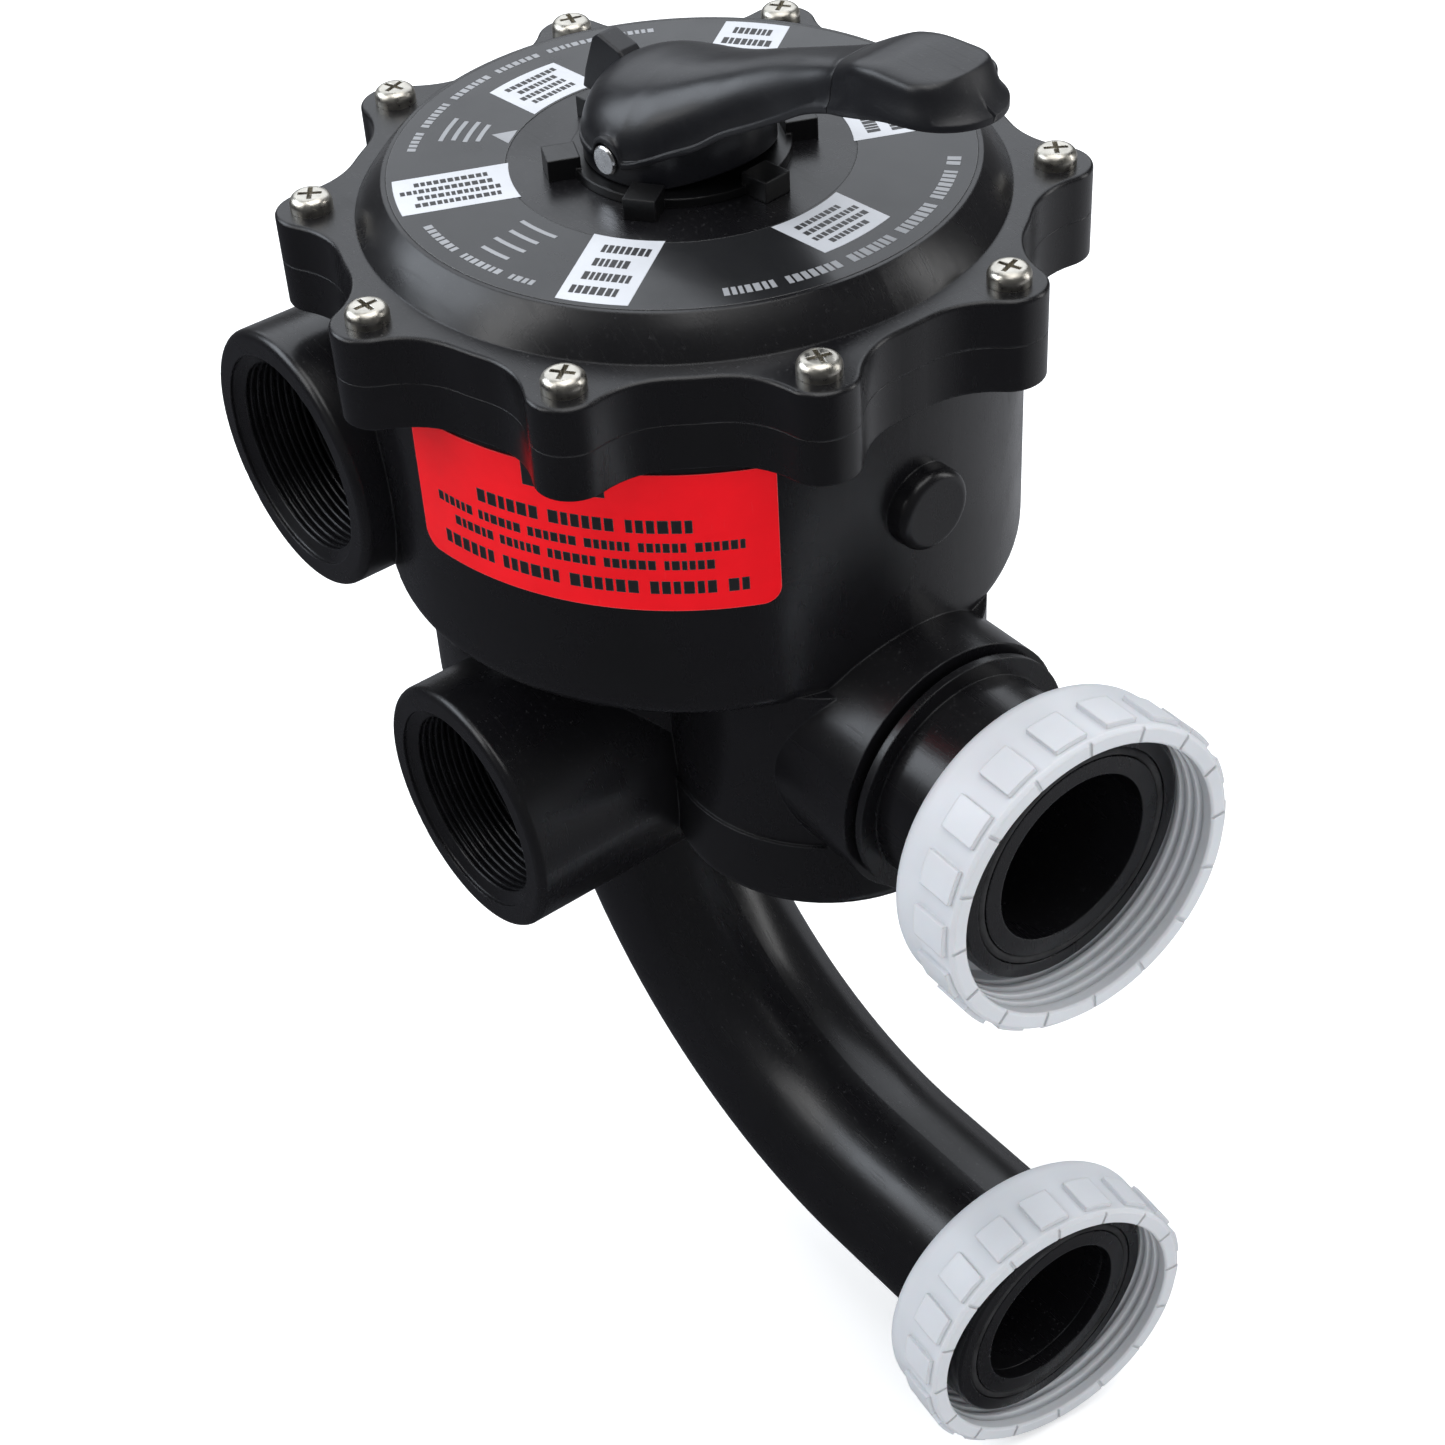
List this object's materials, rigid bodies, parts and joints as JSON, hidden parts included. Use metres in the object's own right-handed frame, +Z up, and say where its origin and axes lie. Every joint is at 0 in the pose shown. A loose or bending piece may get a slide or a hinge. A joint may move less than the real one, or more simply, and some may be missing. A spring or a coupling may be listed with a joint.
{
  "type": "multiport valve",
  "caption": "Side-mounted rotary selector valve with a lever on a domed lid, threaded pipe ports, a curved drop pipe and flanged union ends with free-turning nuts.",
  "frame": {"origin": "centre of the upper union's sealing face", "axes": "+X points out of both unions, +Z runs up along the selector shaft, +Y is to the left when looking along +X"},
  "size_m": [0.2712, 0.216, 0.4409],
  "materials": {
    "black_plastic": "moulded black plastic with a soft gloss",
    "dial_film": "printed film",
    "label_film": "printed film",
    "screw_steel": "rolled stainless steel",
    "seal_rubber": "moulded rubber",
    "rotor_plastic": "moulded plastic",
    "spring_steel": "drawn wire",
    "washer_plastic": "natural acetal",
    "handle_plastic": "moulded black plastic, satin",
    "pin_steel": "polished steel",
    "nut_plastic": "moulded white plastic"
  },
  "bodies": {
    "valve": {"valve_body": "black_plastic", "lid": "black_plastic", "lid_o_ring": "seal_rubber", "dial_plate": "dial_film", "side_label": "label_film", "lid_screws": "screw_steel", "lid_nuts": "screw_steel", "cam_washer": "black_plastic", "spider_gasket": "seal_rubber", "drop_pipe": "black_plastic", "upper_tailpiece": "black_plastic", "lower_tailpiece": "black_plastic", "upper_union_o_ring": "seal_rubber", "lower_union_o_ring": "seal_rubber"},
    "selector": {"slip_washer": "washer_plastic"},
    "rotor": {"rotor": "rotor_plastic", "shaft_o_rings": "seal_rubber", "handle_pin": "pin_steel", "spring": "spring_steel"},
    "handle": {"handle": "handle_plastic", "handle_grip": "handle_plastic"},
    "upper_nut": {"upper_union_nut": "nut_plastic"},
    "lower_nut": {"lower_union_nut": "nut_plastic"}
  },
  "joints": [
    {"name": "selector_turn", "type": "hinge", "parent": "valve", "child": "selector", "pos_m": [-0.1543, 0, 0.12], "axis": [0, 0, 1], "continuous": true},
    {"name": "rotor_lift", "type": "slide", "parent": "selector", "child": "rotor", "axis": [0, 0, 1], "range_m": [0, 0.0039], "deforming": ["spring"]},
    {"name": "handle_tilt", "type": "hinge", "parent": "rotor", "child": "handle", "pos_m": [-0.1543, 0, 0.151], "axis": [-0.1045, 0.9945, 0], "range_deg": [0, 16]},
    {"name": "upper_nut_spin", "type": "hinge", "parent": "valve", "child": "upper_nut", "pos_m": [0.009, -0.0015, -0.0012], "axis": [0.9944, -0.08, 0.0698], "continuous": true},
    {"name": "lower_nut_spin", "type": "hinge", "parent": "valve", "child": "lower_nut", "pos_m": [0.005, -0.0016, -0.1927], "axis": [0.9895, -0.1391, 0.0401], "continuous": true}
  ],
  "couplings": [
    {"joint": "handle_tilt", "follows": "rotor_lift", "rad_per_m": 71.5}
  ]
}
